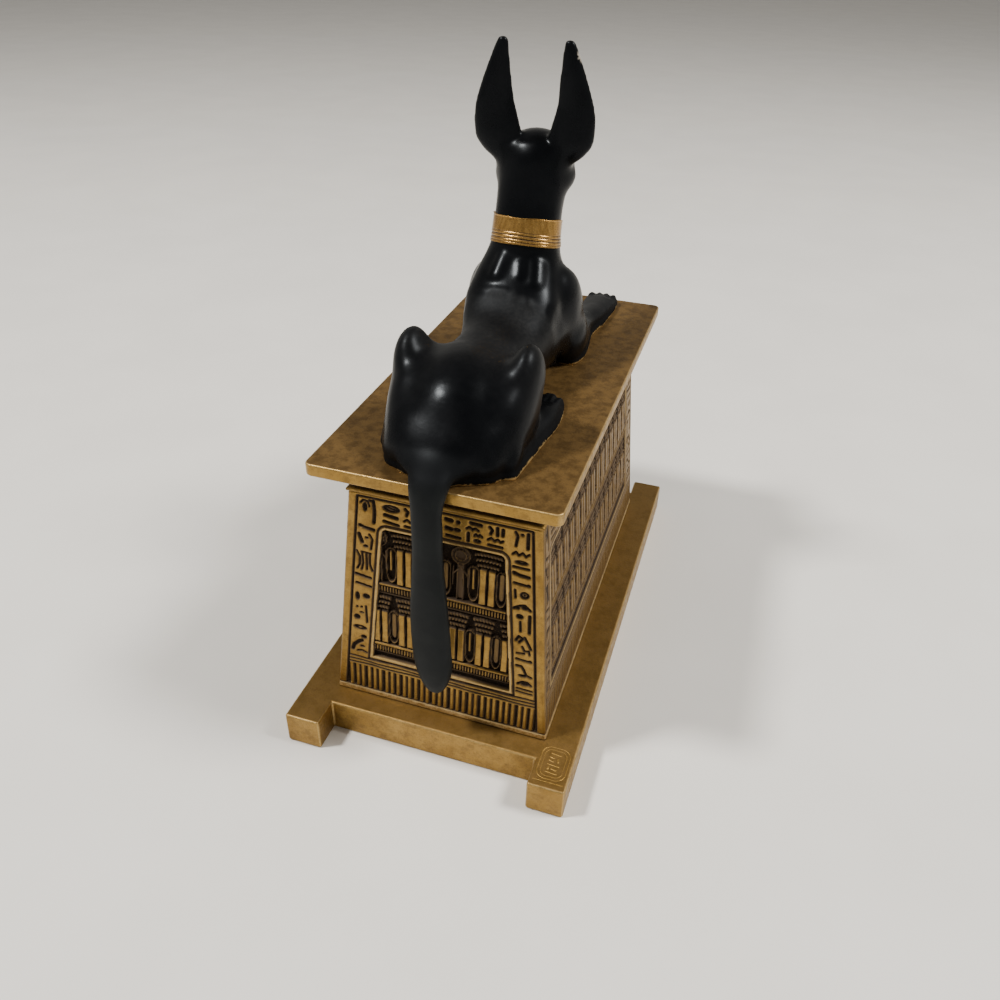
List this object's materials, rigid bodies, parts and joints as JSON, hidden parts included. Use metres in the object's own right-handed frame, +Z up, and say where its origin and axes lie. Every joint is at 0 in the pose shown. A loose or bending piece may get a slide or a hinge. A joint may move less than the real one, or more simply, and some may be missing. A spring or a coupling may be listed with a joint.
{
  "type": "jackal shrine statuette",
  "caption": "Cast figurine of a black jackal lying alert on a gilt shrine chest with sloping carved walls, a flat slab and a sled base.",
  "frame": {"origin": "middle of the underside of the sled base, at the centre of the overall box", "axes": "+Z up, -Y the way the jackal faces, +X to the jackal's left"},
  "size_m": [0.09, 0.1694, 0.1912],
  "materials": {
    "black_gloss": "satin to gloss black lacquer on cast resin, with a gilt collar band and a matt slate-grey tail",
    "antique_gold": "antique gold paint on cast resin, with a dark brown wash in the recesses"
  },
  "bodies": {
    "root": {"jackal": "black_gloss", "shrine": "antique_gold"}
  },
  "joints": []
}
